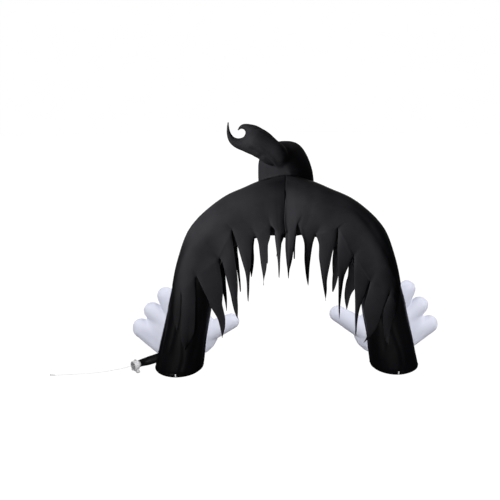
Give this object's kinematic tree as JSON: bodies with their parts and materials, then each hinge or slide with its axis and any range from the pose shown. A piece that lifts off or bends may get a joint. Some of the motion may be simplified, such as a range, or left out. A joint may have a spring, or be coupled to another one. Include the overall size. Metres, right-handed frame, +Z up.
{
  "type": "inflatable hooded archway",
  "caption": "Walk-through inflatable arch made as a ragged hooded cape with two outsize hands, filled by a small fan at one foot.",
  "frame": {"origin": "on the ground, under the middle of the arch, hands and fan taken together without the cord", "axes": "+X to the right seen from the back, +Y the way out past the hands, +Z up; the back of the arch and its fan's cord side face -Y"},
  "size_m": [4.9094, 0.954, 3.0059],
  "materials": {
    "black_polyester": "soft woven sheen",
    "cape_polyester": "soft woven sheen",
    "white_polyester": "soft woven sheen",
    "white_webbing": "matte",
    "pale_plastic": "satin",
    "dark_plastic": "satin",
    "pale_cable": "satin"
  },
  "bodies": {
    "root": {"arch_tube": "black_polyester", "hood": "black_polyester", "air_sleeve": "black_polyester", "cape_back_left": "cape_polyester", "cape_back_right": "cape_polyester", "cape_front_left": "cape_polyester", "cape_front_right": "cape_polyester", "left_hand": "white_polyester", "right_hand": "white_polyester", "left_foot_tab": "white_webbing", "right_foot_tab": "white_webbing", "fan_drum": "pale_plastic", "cord_relief": "pale_plastic", "intake_grille": "dark_plastic", "outlet_collar": "dark_plastic", "fan_stand": "dark_plastic", "top_knob": "dark_plastic", "power_cord": "pale_cable", "plug": "pale_cable"}
  },
  "joints": []
}
